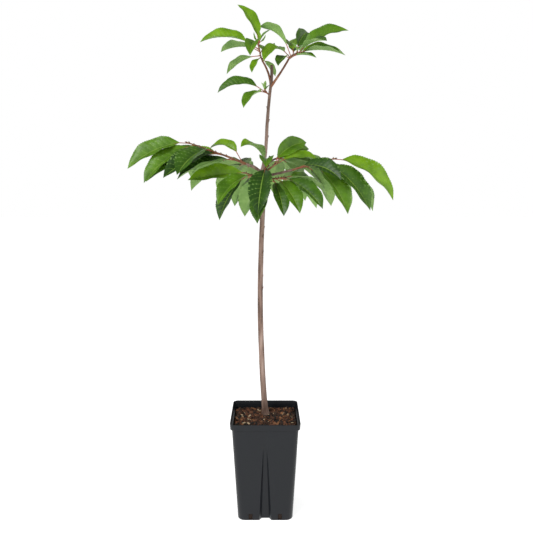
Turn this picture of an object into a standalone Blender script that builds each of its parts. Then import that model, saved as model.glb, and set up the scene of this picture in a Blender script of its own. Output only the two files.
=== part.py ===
"""Young sweet cherry tree, two tiers of leaves on a slim trunk, in a tall square nursery pot.

Metres, +Z up. The origin is the middle of the pot's flat underside, and the front faces -Y.
Headings are degrees from +X, turning towards +Y. Rises are degrees above level.
"""
import math
import random
from collections import namedtuple

import bmesh
import bpy
from mathutils import Vector
from mathutils.bvhtree import BVHTree

SEED = 11
GAP = 0.0003
CURVE_STEPS = 12
MERGE_REACH = 0.000002

# Pot: a thin wall with a deeper rim band, a tapering groove down each side and two drain slots.
POT_HEIGHT = 0.250
RIM_WIDTH = 0.170
BAND_HEIGHT = 0.015
BAND_FOOT_WIDTH = 0.1685
BODY_TOP_WIDTH = 0.161
BODY_FOOT_WIDTH = 0.1355
POT_WALL = 0.0015
POT_FLOOR = 0.002
FOOT_ROUNDING = 0.002
RIM_CORNER = 0.013
FOOT_CORNER = 0.018
GROOVE_TOP = 0.226
GROOVE_TOP_WIDTH = 0.007
GROOVE_FOOT_WIDTH = 0.030
GROOVE_FOOT_DEPTH = 0.010
GROOVE_FLAT = 0.6
GROOVE_STEPS = 10
CORNER_STEPS = 5
SLOT_OFFSET = 0.036
SLOT_WIDTH = 0.0096
SLOT_FOOT = 0.003
SLOT_HEIGHT = 0.014
SLOT_REACH = 0.008

# Compost, flat where the trunk stands.
COMPOST_TOP = 0.231
COMPOST_BUMP = 0.002
COMPOST_GAP = 0.0006
COMPOST_SHARES = (0.12, 0.35, 0.60, 0.82)
TRUNK_SEAT_RADIUS = 0.016

# Trunk: centre line from the compost to the dead tip above the fork.
TRUNK_ROUTE = (
    (0.0005, 0.034, COMPOST_TOP + GAP),
    (-0.003, 0.032, 0.275),
    (-0.007, 0.028, 0.340),
    (-0.0105, 0.024, 0.425),
    (-0.0125, 0.019, 0.510),
    (-0.0120, 0.014, 0.590),
    (-0.0095, 0.009, 0.680),
    (-0.0060, 0.005, 0.765),
    (-0.0052, 0.000, 0.848),
    (0.0015, 0.000, 0.905),
    (0.0045, 0.000, 0.960),
    (0.0095, 0.000, 1.020),
    (0.0150, 0.000, 1.066),
    (0.0155, 0.000, 1.097),
)
TRUNK_SIDES = 12
TRUNK_RINGS = 34
TRUNK_STEPS = 300
FOOT_RINGS = (0.0, 0.003, 0.007, 0.012, 0.019, 0.028)
WHORL_RINGS = (-0.026, -0.018, -0.011, -0.005, 0.001, 0.007, 0.014, 0.022)
RING_SPACE = 0.006
TRUNK_FOOT_RADIUS = 0.0076
TRUNK_TOP_RADIUS = 0.0056
LEADER_FOOT_RADIUS = 0.0043
LEADER_TOP_RADIUS = 0.0034
WHORL_HEIGHT = 0.846
WHORL_SWELL = 0.0022
WHORL_SPAN = 0.016
ROOT_FLARE = 0.0042
ROOT_FLARE_SPAN = 0.010

Limb = namedtuple("Limb", "name height heading rise turn bend length foot tip")
Leaf = namedtuple("Leaf", "heading rise length roll arch stalk", defaults=(0, 30, 0.024))
Mass = namedtuple("Mass", "name limb height heading rise turn bend length leaves")

# Stub of a shoot pruned off at the whorl, fused to the trunk.
PRUNED_STUB = Limb("pruned_stub", 0.846, 5, 62, 0, 8, 0.044, 0.0042, 0.0033)

# Buds and leaf scars on the trunk: height, heading and size.
BUDS = (
    (0.565, -25, 0.0030), (0.595, 20, 0.0022), (0.655, -40, 0.0028), (0.695, -60, 0.0030),
    (0.716, 15, 0.0022), (0.738, 215, 0.0032), (0.905, 200, 0.0020), (0.932, -10, 0.0024),
    (0.970, 0, 0.0026), (1.000, 190, 0.0020), (0.455, 110, 0.0026), (0.630, 140, 0.0024),
)
BUD_SIDES = 6

# Boughs: height where each leaves the trunk's centre line, heading and rise there,
# turn of the heading and of the rise along it, length, and radius at foot and tip.
LIMBS = (
    Limb("bough_left", 0.846, 182, 36, 4, -16, 0.046, 0.0036, 0.0030),
    Limb("bough_right", 0.838, -6, 10, 2, 4, 0.072, 0.0035, 0.0026),
    Limb("bough_right_upper", 0.845, 12, 36, 4, 0, 0.026, 0.0026, 0.0022),
    Limb("bough_back_left", 0.840, 112, 34, 8, -24, 0.080, 0.0032, 0.0024),
    Limb("bough_back_right", 0.849, 70, 40, -10, -26, 0.078, 0.0032, 0.0024),
    Limb("bough_top_left", 1.053, 178, 82, 0, -24, 0.056, 0.0027, 0.0021),
    Limb("bough_top_right", 1.048, -2, 52, 4, 8, 0.074, 0.0028, 0.0022),
)
LIMB_SIDES = 8
STUB_RINGS = 5
LIMB_RINGS = 9
COLLAR = 0.35
COLLAR_SPAN = 0.15

# Masses of foliage. Each has one stem, which goes on from its limb's tip, or where limb is None
# from the trunk's centre line at a height. The leaves stand in order along the stem.
MASSES = (
    Mass("foliage_left_outer", "bough_left", 0, 186, 19, -2, 4, 0.146, (
        Leaf(152, 8, 0.084, -30, 75, 0.030), Leaf(192, -22, 0.130, -20),
        Leaf(146, -34, 0.130, 10), Leaf(184, -16, 0.132, -38, 34), Leaf(180, -45, 0.144, -30),
        Leaf(160, -16, 0.120, -30), Leaf(222, -47, 0.142, -10), Leaf(112, -30, 0.130, 0),
        Leaf(170, -57, 0.132, -50), Leaf(199, -40, 0.133, -30, 26), Leaf(181, -27, 0.138, -45, 34),
    )),
    Mass("foliage_left_inner", None, 0.834, 192, 18, -6, -6, 0.044, (
        Leaf(110, -48, 0.122, 0), Leaf(226, -36, 0.120, -15, 45), Leaf(116, -46, 0.112, 0),
        Leaf(200, -60, 0.112, -30), Leaf(186, -8, 0.130, -45, 8, 0.012),
    )),
    Mass("foliage_front", None, 0.852, 300, 26, 0, -10, 0.026, (
        Leaf(260, -50, 0.138, 0, 30, 0.014), Leaf(234, 12, 0.095, -20, 75),
        Leaf(268, -14, 0.085, 0, 60),
    )),
    Mass("foliage_right_inner", None, 0.829, -36, 10, 14, -8, 0.060, (
        Leaf(44, -38, 0.112, 0), Leaf(254, -42, 0.125, 12), Leaf(288, -52, 0.098, 0),
        Leaf(302, -50, 0.110, 10), Leaf(40, -33, 0.128, 0), Leaf(322, -36, 0.118, 20),
        Leaf(40, -17, 0.115, 20),
    )),
    Mass("foliage_right_upper", "bough_right_upper", 0, 20, 34, 0, -6, 0.012, (
        Leaf(40, 24, 0.108, 55, 40), Leaf(28, 15, 0.102, 50, 30, 0.030), Leaf(24, -1, 0.095, 35, 40),
    )),
    Mass("foliage_right_outer", "bough_right", 0, -4, 16, 4, -4, 0.104, (
        Leaf(322, -20, 0.112, 35, 50), Leaf(100, -30, 0.130, 0), Leaf(52, -44, 0.128, 0),
        Leaf(325, -54, 0.132, 20), Leaf(46, -60, 0.138, 0), Leaf(348, -56, 0.144, 40),
        Leaf(8, -60, 0.160, 10), Leaf(0, -38, 0.160, 40, 44),
    )),
    Mass("foliage_back_left", "bough_back_left", 0, 118, 10, 0, 6, 0.075, (
        Leaf(148, -16, 0.118, 0), Leaf(85, -40, 0.130, 0), Leaf(126, -34, 0.130, 0),
        Leaf(105, -18, 0.130, 0), Leaf(140, -24, 0.120, 0), Leaf(75, -30, 0.125, 0),
        Leaf(112, -35, 0.140, 0),
    )),
    Mass("foliage_back_right", "bough_back_right", 0, 60, 14, 0, 4, 0.070, (
        Leaf(30, -28, 0.120, 0), Leaf(95, -40, 0.130, 0), Leaf(48, -44, 0.130, 0),
        Leaf(72, -20, 0.130, 0), Leaf(28, -34, 0.120, 0), Leaf(98, -26, 0.125, 0),
        Leaf(56, -32, 0.140, 0),
    )),
    Mass("foliage_spur", None, 1.029, 184, 38, 0, -10, 0.014, (
        Leaf(236, -34, 0.085, 0, 40), Leaf(184, -10, 0.098, -40, 60),
    )),
    Mass("foliage_top_left", "bough_top_left", 0, 172, 66, 0, 24, 0.042, (
        Leaf(50, -36, 0.050, 0, 30, 0.010), Leaf(240, -50, 0.050, 0, 30, 0.012),
        Leaf(150, -24, 0.080, 0), Leaf(75, 10, 0.095, 0), Leaf(142, 4, 0.105, 0),
        Leaf(180, -1, 0.112, -40, 44, 0.036), Leaf(258, -34, 0.085, 0, 70),
        Leaf(160, 56, 0.092, -30), Leaf(20, 45, 0.035, 0, 30, 0.010),
    )),
    Mass("foliage_top_right", "bough_top_right", 0, 2, 34, 0, -14, 0.026, (
        Leaf(250, -30, 0.070, 0), Leaf(228, -26, 0.086, -20, 80),
        Leaf(150, 34, 0.092, 30, 44, 0.034), Leaf(75, 14, 0.100, 0),
        Leaf(352, -12, 0.052, 20, 30, 0.008), Leaf(95, 24, 0.105, 0), Leaf(18, 0, 0.112, 30),
        Leaf(345, -6, 0.085, 20),
        Leaf(68, 36, 0.090, 40), Leaf(305, -2, 0.085, 20), Leaf(4, 20, 0.112, 45, 36),
    )),
)
STEM_SIDES = 6
STEM_RINGS = 7
STEM_TIP_RADIUS = 0.0014
STEM_FOOT_RADIUS = 0.0022
STEM_WANDER = 5
STEM_SEAT = 0.002
JOINT_CLEARANCE = 0.003

# Leaf: a stalk and a blade folded along its midrib, here with the blade's half widths.
STALK_RADIUS = 0.0010
STALK_LIFT = 12
BLADE_WIDTH = 0.44
BLADE_FOLD = 28
BLADE_THICKNESS = 0.0017
BLADE_STATIONS = ((0.0, 0.06), (0.14, 0.62), (0.38, 0.97), (0.64, 0.94), (0.86, 0.52))
SWINGS = ((0, 0), (7, 0), (-7, 0), (0, -7), (0, 7), (14, 0), (-14, 0), (10, 9), (-10, 9),
          (10, -9), (-10, -9), (22, 0), (-22, 0), (0, 16), (16, 14), (-16, 14), (30, 0), (-30, 0),
          (0, -16), (22, -14), (-22, -14), (24, 20), (-24, 20), (38, 0), (-38, 0), (36, 20), (-36, 20))

COLOURS = {
    "pot": (0.016, 0.018, 0.021, 1),
    "compost": (0.045, 0.022, 0.012, 1),
    "bark": (0.17, 0.11, 0.08, 1),
    "twig": (0.20, 0.06, 0.03, 1),
    "leaf": (0.06, 0.20, 0.02, 1),
}
ROUGHNESS = {"pot": 0.42, "compost": 0.95, "bark": 0.85, "twig": 0.6, "leaf": 0.5}


def make_material(name):
    material = bpy.data.materials.new(name)
    material.use_nodes = True
    shader = material.node_tree.nodes["Principled BSDF"]
    shader.inputs["Base Color"].default_value = COLOURS[name]
    shader.inputs["Roughness"].default_value = ROUGHNESS[name]
    shader.inputs["Metallic"].default_value = 0.0
    return material


def make_object(name, vertices, faces, material=None):
    mesh = bpy.data.meshes.new(name)
    mesh.from_pydata(vertices, [], faces)
    if material:
        mesh.materials.append(material)
    item = bpy.data.objects.new(name, mesh)
    bpy.context.scene.collection.objects.link(item)
    return item


def direction(heading, rise):
    """Unit vector for a heading and a rise in degrees."""
    turn = math.radians(heading)
    lift = math.radians(rise)
    return Vector((math.cos(turn) * math.cos(lift), math.sin(turn) * math.cos(lift), math.sin(lift)))


def smooth_route(points, count):
    """Evenly spaced points on a smooth curve through the given points."""
    points = [Vector(point) for point in points]
    points = [2 * points[0] - points[1]] + points + [2 * points[-1] - points[-2]]
    fine = []
    for i in range(1, len(points) - 2):
        before, start, end, after = points[i - 1:i + 3]
        for step in range(CURVE_STEPS):
            t = step / CURVE_STEPS
            fine.append(0.5 * (2 * start + (end - before) * t
                               + (2 * before - 5 * start + 4 * end - after) * t ** 2
                               + (3 * start - before - 3 * end + after) * t ** 3))
    fine.append(points[-2])
    return [along(fine, i / (count - 1)) for i in range(count)]


def along(route, share):
    """Point at a share of a route's length."""
    lengths = [(b - a).length for a, b in zip(route, route[1:])]
    left = share * sum(lengths)
    for start, end, length in zip(route, route[1:], lengths):
        if left <= length:
            return start.lerp(end, left / length)
        left -= length
    return route[-1].copy()


def at_height(route, height):
    """Point where a rising route passes a height."""
    for start, end in zip(route, route[1:]):
        if start.z <= height <= end.z:
            return start.lerp(end, (height - start.z) / (end.z - start.z))
    return route[-1].copy()


def shoot_route(start, shoot, count, wander=0, rng=None):
    """Points along a shoot that turns and bends evenly, and wanders by a seeded rule."""
    route = [start.copy()]
    step = shoot.length / (count - 1)
    for i in range(count - 1):
        share = (i + 0.5) / (count - 1)
        heading = shoot.heading + shoot.turn * share
        rise = shoot.rise + shoot.bend * share
        if wander:
            heading += rng.uniform(-wander, wander)
            rise += rng.uniform(-wander, wander)
        route.append(route[-1] + direction(heading, rise) * step)
    return route


def tube(route, radii, sides):
    """Closed tube with flat ends round a route."""
    tangents = [(b - a).normalized() for a, b in zip(route, route[1:])]
    tangents = [tangents[0]] + [(a + b).normalized() for a, b in zip(tangents, tangents[1:])] + [tangents[-1]]
    across = tangents[0].orthogonal().normalized()
    vertices = []
    for point, tangent, radius in zip(route, tangents, radii):
        across = (across - tangent * across.dot(tangent)).normalized()
        beside = tangent.cross(across)
        for k in range(sides):
            turn = 2 * math.pi * k / sides
            vertices.append(point + (across * math.cos(turn) + beside * math.sin(turn)) * radius)
    return vertices, ring_faces(len(route), sides)


def ring_faces(rings, sides):
    """Faces between the rings of a closed stack, with a cap at each end."""
    faces = [tuple(range(sides))[::-1]]
    for ring in range(rings - 1):
        low = ring * sides
        for k in range(sides):
            k_next = (k + 1) % sides
            faces.append((low + k, low + k_next, low + sides + k_next, low + sides + k))
    faces.append(tuple(range((rings - 1) * sides, rings * sides)))
    return faces


def evaluated_copy(item, name):
    """Replace an object by its modifiers' result."""
    graph = bpy.context.evaluated_depsgraph_get()
    mesh = bpy.data.meshes.new_from_object(item.evaluated_get(graph))
    mesh.name = name
    item.modifiers.clear()
    item.data = mesh


def fuse(name, pieces, material):
    """One closed body from pieces that run into each other."""
    body = make_object(name, *pieces[0], material)
    group = bpy.data.collections.new(name + "_pieces")
    bpy.context.scene.collection.children.link(group)
    for vertices, faces in pieces[1:]:
        piece = make_object(name + "_piece", vertices, faces, material)
        bpy.context.scene.collection.objects.unlink(piece)
        group.objects.link(piece)
    union = body.modifiers.new("union", "BOOLEAN")
    union.operation = "UNION"
    union.operand_type = "COLLECTION"
    union.collection = group
    evaluated_copy(body, name)
    for piece in list(group.objects):
        bpy.data.objects.remove(piece)
    bpy.data.collections.remove(group)
    keep_largest(body.data)
    return body


def keep_largest(mesh):
    """Drop loose scraps and sealed hollows, leaving the outer skin of the largest body."""
    skin = bmesh.new()
    skin.from_mesh(mesh)
    bmesh.ops.dissolve_degenerate(skin, dist=MERGE_REACH, edges=skin.edges[:])
    parts = []
    left = set(skin.verts)
    while left:
        part = [left.pop()]
        for vertex in part:
            for edge in vertex.link_edges:
                other = edge.other_vert(vertex)
                if other in left:
                    left.remove(other)
                    part.append(other)
        parts.append(part)
    parts.sort(key=lambda part: max((v.co - part[0].co).length for v in part))
    for part in parts[:-1]:
        bmesh.ops.delete(skin, geom=part, context="VERTS")
    skin.to_mesh(mesh)
    skin.free()


def cut(item, cutters):
    """Take cutter objects out of an object and remove them."""
    group = bpy.data.collections.new(item.name + "_cutters")
    bpy.context.scene.collection.children.link(group)
    for cutter in cutters:
        bpy.context.scene.collection.objects.unlink(cutter)
        group.objects.link(cutter)
    difference = item.modifiers.new("difference", "BOOLEAN")
    difference.operation = "DIFFERENCE"
    difference.operand_type = "COLLECTION"
    difference.collection = group
    evaluated_copy(item, item.name)
    for cutter in list(group.objects):
        bpy.data.objects.remove(cutter)
    bpy.data.collections.remove(group)


# Pot and compost

def pot_outline(half, corner, groove_width, groove_depth, height):
    """Rounded square with a groove in the middle of each side."""
    side = [
        (-groove_width / 2, -half),
        (-groove_width / 2 * GROOVE_FLAT, -half + groove_depth),
        (groove_width / 2 * GROOVE_FLAT, -half + groove_depth),
        (groove_width / 2, -half),
    ]
    for step in range(CORNER_STEPS + 1):
        turn = math.radians(-90 + 90 * step / CORNER_STEPS)
        side.append((half - corner + corner * math.cos(turn), -half + corner + corner * math.sin(turn)))
    outline = []
    for quarter in range(4):
        turn = math.radians(90 * quarter)
        for x, y in side:
            outline.append((x * math.cos(turn) - y * math.sin(turn),
                            x * math.sin(turn) + y * math.cos(turn), height))
    return outline


def body_outline(height, inset):
    """Outline of the pot's tapering body at a height, moved inwards by an inset."""
    share = height / (POT_HEIGHT - BAND_HEIGHT)
    half = (BODY_FOOT_WIDTH + (BODY_TOP_WIDTH - BODY_FOOT_WIDTH) * share) / 2 - inset
    corner = FOOT_CORNER + (RIM_CORNER - FOOT_CORNER) * share - inset
    depth_share = max(0.0, 1 - height / GROOVE_TOP)
    width = GROOVE_TOP_WIDTH + (GROOVE_FOOT_WIDTH - GROOVE_TOP_WIDTH) * depth_share + 2 * inset
    return pot_outline(half, corner, width, GROOVE_FOOT_DEPTH * depth_share, height)


def wall_rings(foot, inset):
    """Outlines of the body's wall from a height up to the top of its grooves."""
    heights = [foot + (GROOVE_TOP - foot) * i / GROOVE_STEPS for i in range(GROOVE_STEPS + 1)]
    return [body_outline(height, inset) for height in heights]


def make_pot(material):
    band_foot = POT_HEIGHT - BAND_HEIGHT
    edge = POT_WALL / 2
    rings = [body_outline(FOOT_ROUNDING, FOOT_ROUNDING)]
    rings += wall_rings(FOOT_ROUNDING, 0)
    rings += [
        body_outline(band_foot, 0),
        pot_outline(BAND_FOOT_WIDTH / 2, RIM_CORNER, GROOVE_TOP_WIDTH, 0, band_foot),
        pot_outline(RIM_WIDTH / 2, RIM_CORNER, GROOVE_TOP_WIDTH, 0, POT_HEIGHT - edge),
        pot_outline(RIM_WIDTH / 2 - edge, RIM_CORNER - edge, GROOVE_TOP_WIDTH, 0, POT_HEIGHT),
        pot_outline(RIM_WIDTH / 2 - POT_WALL, RIM_CORNER - POT_WALL, GROOVE_TOP_WIDTH, 0,
                    POT_HEIGHT - edge),
        pot_outline(BAND_FOOT_WIDTH / 2 - POT_WALL, RIM_CORNER - POT_WALL, GROOVE_TOP_WIDTH, 0,
                    band_foot + POT_WALL),
        body_outline(band_foot + POT_WALL, POT_WALL),
    ]
    rings += wall_rings(POT_FLOOR, POT_WALL)[::-1]
    rings[0] = [(x, y, 0.0) for x, y, _ in rings[0]]
    vertices = [point for ring in rings for point in ring]
    pot = make_object("pot", vertices, ring_faces(len(rings), len(rings[0])), material)
    foot_half = BODY_FOOT_WIDTH / 2
    slots = []
    for quarter in range(4):
        turn = math.radians(90 * quarter)
        for sideways in (-SLOT_OFFSET, SLOT_OFFSET):
            slots.append(make_slot(sideways, foot_half, turn))
    cut(pot, slots)
    return pot


def make_slot(sideways, foot_half, turn):
    """Box through the wall, turned to its side of the pot."""
    box = bmesh.new()
    bmesh.ops.create_cube(box, size=1)
    for vertex in box.verts:
        x = sideways + vertex.co.x * SLOT_WIDTH
        y = -foot_half + vertex.co.y * SLOT_REACH
        z = SLOT_FOOT + (vertex.co.z + 0.5) * SLOT_HEIGHT
        vertex.co = (x * math.cos(turn) - y * math.sin(turn), x * math.sin(turn) + y * math.cos(turn), z)
    slot = make_object("slot", [], [])
    box.to_mesh(slot.data)
    box.free()
    slot.hide_render = True
    slot.display_type = "WIRE"
    return slot


def make_compost(material, rng):
    inset = POT_WALL + COMPOST_GAP
    rings = wall_rings(POT_FLOOR + GAP, inset)
    rings.append(body_outline(COMPOST_TOP - COMPOST_BUMP, inset))
    edge = rings[-1]
    seat = Vector(TRUNK_ROUTE[0])
    for share in COMPOST_SHARES:
        ring = []
        for x, y, _ in edge:
            outwards = Vector((x, y)) - seat.xy
            outwards *= 1 - share * (1 - TRUNK_SEAT_RADIUS / outwards.length)
            height = COMPOST_TOP + rng.uniform(-COMPOST_BUMP, COMPOST_BUMP / 2)
            ring.append((seat.x + outwards.x, seat.y + outwards.y, height))
        rings.append(ring)
    ring = []
    for x, y, _ in edge:
        outwards = (Vector((x, y)) - seat.xy).normalized() * TRUNK_SEAT_RADIUS
        ring.append((seat.x + outwards.x, seat.y + outwards.y, COMPOST_TOP))
    rings.append(ring)
    vertices = [point for ring in rings for point in ring]
    return make_object("compost", vertices, ring_faces(len(rings), len(edge)), material)


# Trunk and limbs

def trunk_radius(height):
    """Taper, root flare at the foot and swelling at the whorl."""
    foot = TRUNK_ROUTE[0][2]
    top = TRUNK_ROUTE[-1][2]
    if height < WHORL_HEIGHT:
        share = (height - foot) / (WHORL_HEIGHT - foot)
        radius = TRUNK_FOOT_RADIUS + (TRUNK_TOP_RADIUS - TRUNK_FOOT_RADIUS) * share
    else:
        share = (height - WHORL_HEIGHT) / (top - WHORL_HEIGHT)
        ease = min(1.0, (height - WHORL_HEIGHT) / WHORL_SPAN)
        leader = LEADER_FOOT_RADIUS + (LEADER_TOP_RADIUS - LEADER_FOOT_RADIUS) * share
        radius = TRUNK_TOP_RADIUS + (leader - TRUNK_TOP_RADIUS) * ease
    swell = WHORL_SWELL * math.exp(-((height - WHORL_HEIGHT) / WHORL_SPAN) ** 2)
    flare = ROOT_FLARE * math.exp(-(height - foot) / ROOT_FLARE_SPAN)
    return radius + swell + flare


def trunk_rings():
    """Route of the trunk, with more rings at the foot and at the whorl."""
    fine = smooth_route(TRUNK_ROUTE, TRUNK_STEPS)
    foot = fine[0].z
    top = fine[-1].z
    close = [foot + rise for rise in FOOT_RINGS] + [WHORL_HEIGHT + rise for rise in WHORL_RINGS]
    even = [foot + (top - foot) * i / (TRUNK_RINGS - 1) for i in range(TRUNK_RINGS)]
    even = [height for height in even if all(abs(height - other) > RING_SPACE for other in close)]
    return [at_height(fine, height) for height in sorted(close + even)]


def bud_piece(route, bud):
    """Small pointed cone that leans upwards out of the bark."""
    height, heading, size = bud
    centre = at_height(route, height)
    outwards = direction(heading, 0)
    root = centre + outwards * (trunk_radius(height) - size * 0.5)
    tip = centre + outwards * (trunk_radius(height) + size * 0.7) + Vector((0, 0, size * 0.9))
    return tube([root, root.lerp(tip, 0.6), tip], [size * 0.8, size * 0.6, size * 0.15], BUD_SIDES)


def limb_radii(limb, count):
    """Taper with a collar at the foot."""
    radii = []
    for i in range(count):
        share = i / (count - 1)
        collar = 1 + COLLAR * math.exp(-share / COLLAR_SPAN)
        radii.append((limb.foot + (limb.tip - limb.foot) * share) * collar)
    return radii


def make_trunk(route, material):
    """Trunk with its stub and buds, cut level where it stands on the compost."""
    radii = [trunk_radius(point.z) for point in route]
    stub_route = shoot_route(at_height(route, PRUNED_STUB.height), PRUNED_STUB, STUB_RINGS)
    vertices, faces = tube(route, radii, TRUNK_SIDES)
    for vertex in vertices[:TRUNK_SIDES]:
        vertex.z = route[0].z
    pieces = [(vertices, faces)]
    pieces.append(tube(stub_route, limb_radii(PRUNED_STUB, STUB_RINGS), LIMB_SIDES))
    pieces += [bud_piece(route, bud) for bud in BUDS]
    return fuse("trunk", pieces, material)


def trunk_clearance(route):
    """The trunk swelled by the gap, to cut the foot of what grows from it."""
    radii = [trunk_radius(point.z) + GAP for point in route]
    stub_route = shoot_route(at_height(route, PRUNED_STUB.height), PRUNED_STUB, STUB_RINGS)
    stub_radii = [radius + GAP for radius in limb_radii(PRUNED_STUB, STUB_RINGS)]
    stub_route[-1] += (stub_route[-1] - stub_route[-2]).normalized() * GAP
    return fuse("trunk_clearance", [tube(route, radii, TRUNK_SIDES),
                                    tube(stub_route, stub_radii, LIMB_SIDES)], None)


def cut_foot(item, clearance):
    """Cut an object back from the trunk, and keep only the piece outside it."""
    cutter = clearance.copy()
    cutter.data = clearance.data.copy()
    bpy.context.scene.collection.objects.link(cutter)
    cut(item, [cutter])
    keep_largest(item.data)


# Leaves and masses

def blade_frames(root, leaf):
    """Centre, side and upward vectors and half width of each section of a leaf."""
    base_rise = leaf.rise + leaf.arch / 2
    stalk = direction(leaf.heading, base_rise + STALK_LIFT)
    base = root + stalk * leaf.stalk
    frames = [(root, leaf_axes(leaf, base_rise + STALK_LIFT), STALK_RADIUS, 0.0)]
    frames.append((root.lerp(base, 0.9), leaf_axes(leaf, base_rise + STALK_LIFT / 2), STALK_RADIUS, 0.0))
    point = base
    previous = 0.0
    for share, width in BLADE_STATIONS:
        rise = base_rise - leaf.arch * (share + previous) / 2
        point = point + direction(leaf.heading, rise) * leaf.length * (share - previous)
        here = base_rise - leaf.arch * share
        frames.append((point, leaf_axes(leaf, here), leaf.length * BLADE_WIDTH / 2 * width, BLADE_FOLD))
        previous = share
    rise = base_rise - leaf.arch * (1 + previous) / 2
    tip = point + direction(leaf.heading, rise) * leaf.length * (1 - previous)
    return frames, tip


def leaf_axes(leaf, rise):
    """Sideways and upward unit vectors of a leaf where it has a rise."""
    upward = direction(leaf.heading, rise + 90)
    sideways = direction(leaf.heading, rise).cross(upward)
    roll = math.radians(leaf.roll)
    return (sideways * math.cos(roll) - upward * math.sin(roll),
            upward * math.cos(roll) + sideways * math.sin(roll))


def leaf_piece(root, leaf):
    """Closed solid of a leaf: four-sided rings from the stalk's root to a pointed tip."""
    frames, tip = blade_frames(root, leaf)
    vertices = []
    for centre, (sideways, upward), half_width, fold in frames:
        spread = half_width * math.cos(math.radians(fold))
        lift = half_width * math.sin(math.radians(fold))
        thick = STALK_RADIUS if fold == 0 else BLADE_THICKNESS / 2
        vertices += [
            centre - sideways * spread + upward * lift,
            centre + upward * thick,
            centre + sideways * spread + upward * lift,
            centre - upward * thick,
        ]
    vertices.append(tip)
    last = len(vertices) - 5
    faces = ring_faces(len(frames), 4)[:-1]
    faces += [(last + k, last + (k + 1) % 4, last + 4) for k in range(4)]
    return vertices, [face[::-1] for face in faces]


def blade_only(piece):
    """A leaf's faces past its stalk, for testing what they touch."""
    vertices, faces = piece
    return vertices, [face for face in faces if min(face) >= 4]


def tree_of(piece):
    vertices, faces = piece
    return BVHTree.FromPolygons([Vector(v) for v in vertices], faces)


def tree_of_object(item):
    return BVHTree.FromPolygons([v.co for v in item.data.vertices],
                                [tuple(p.vertices) for p in item.data.polygons])


def place_leaf(root, leaf, taken, own):
    """Leaf as drawn, or swung aside until it is clear of the other nodes and its blade is clear
    of its own mass, or None."""
    for turn, lift in SWINGS:
        swung = leaf._replace(heading=leaf.heading + turn, rise=leaf.rise + lift)
        piece = leaf_piece(root, swung)
        whole = tree_of(piece)
        if any(whole.overlap(other) for other in taken):
            continue
        blade = tree_of(blade_only(piece))
        if not any(blade.overlap(other) for other in own):
            return piece
    return None


def stem_and_roots(mass, start, ahead):
    """Route of a mass's stem, which sets off square to its limb's end and wanders by its own seed,
    and where its leaves stand on it."""
    rng = random.Random(mass.name)
    if mass.limb:
        route = [start] + shoot_route(start + ahead * STEM_SEAT, mass, STEM_RINGS, STEM_WANDER, rng)
        first = JOINT_CLEARANCE
    else:
        route = shoot_route(start, mass, STEM_RINGS, STEM_WANDER, rng)
        first = JOINT_CLEARANCE + trunk_radius(mass.height)
    first /= mass.length
    count = len(mass.leaves)
    return route, [along(route, first + (1 - first) * (i + 0.5) / count) for i in range(count)]


def make_mass(mass, start, ahead, foot_radius, taken, clearance, material):
    route, roots = stem_and_roots(mass, start, ahead)
    radii = [foot_radius + (STEM_TIP_RADIUS - foot_radius) * i / (len(route) - 1)
             for i in range(len(route))]
    stem = tube(route, radii, STEM_SIDES)
    pieces = [stem]
    own = [tree_of(stem)]
    for root, leaf in zip(roots, mass.leaves):
        piece = place_leaf(root, leaf, taken, own)
        if piece:
            pieces.append(piece)
            own.append(tree_of(blade_only(piece)))
    body = fuse(mass.name, pieces, material)
    if mass.limb is None:
        cut_foot(body, clearance)
    return body


def clear_scene():
    for item in list(bpy.data.objects):
        bpy.data.objects.remove(item)


def main():
    clear_scene()
    rng = random.Random(SEED)
    materials = {name: make_material(name) for name in COLOURS}
    make_pot(materials["pot"])
    make_compost(materials["compost"], rng)
    route = trunk_rings()
    trunk = make_trunk(route, materials["bark"])
    clearance = trunk_clearance(route)
    taken = [tree_of_object(trunk)]
    tips = {}
    for limb in LIMBS:
        limb_route = shoot_route(at_height(route, limb.height), limb, LIMB_RINGS)
        body = make_object(limb.name, *tube(limb_route, limb_radii(limb, LIMB_RINGS), LIMB_SIDES),
                           materials["twig"])
        cut_foot(body, clearance)
        taken.append(tree_of_object(body))
        ahead = (limb_route[-1] - limb_route[-2]).normalized()
        tips[limb.name] = (limb_route[-1] + ahead * GAP, ahead, limb.tip)
    for mass in MASSES:
        if mass.limb:
            start, ahead, foot_radius = tips[mass.limb]
        else:
            start, ahead, foot_radius = at_height(route, mass.height), None, STEM_FOOT_RADIUS
        body = make_mass(mass, start, ahead, foot_radius, taken, clearance, materials["leaf"])
        taken.append(tree_of_object(body))
    bpy.data.objects.remove(clearance)


main()
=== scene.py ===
"""Young sweet cherry tree in a tall square nursery pot, dressed over its solid model.

Metres, +Z up, front towards -Y. Headings are degrees from +X, turning towards +Y.
"""
import math
import random
from collections import namedtuple

import bmesh
import bpy
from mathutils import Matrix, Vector, noise
from mathutils.bvhtree import BVHTree


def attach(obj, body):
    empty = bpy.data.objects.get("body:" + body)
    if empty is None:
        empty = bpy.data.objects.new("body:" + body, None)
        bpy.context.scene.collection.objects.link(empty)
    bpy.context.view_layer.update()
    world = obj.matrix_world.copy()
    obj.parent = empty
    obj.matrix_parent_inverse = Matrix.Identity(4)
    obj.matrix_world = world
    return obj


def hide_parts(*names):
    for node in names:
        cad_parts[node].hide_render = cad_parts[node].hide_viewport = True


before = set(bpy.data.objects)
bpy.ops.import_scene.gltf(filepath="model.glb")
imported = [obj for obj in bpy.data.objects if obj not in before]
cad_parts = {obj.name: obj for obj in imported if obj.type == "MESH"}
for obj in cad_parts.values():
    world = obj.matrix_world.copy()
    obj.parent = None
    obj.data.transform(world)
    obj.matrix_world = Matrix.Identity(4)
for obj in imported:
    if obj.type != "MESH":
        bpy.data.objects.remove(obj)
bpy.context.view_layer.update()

GAP = 0.0003
CURVE_STEPS = 12

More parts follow.
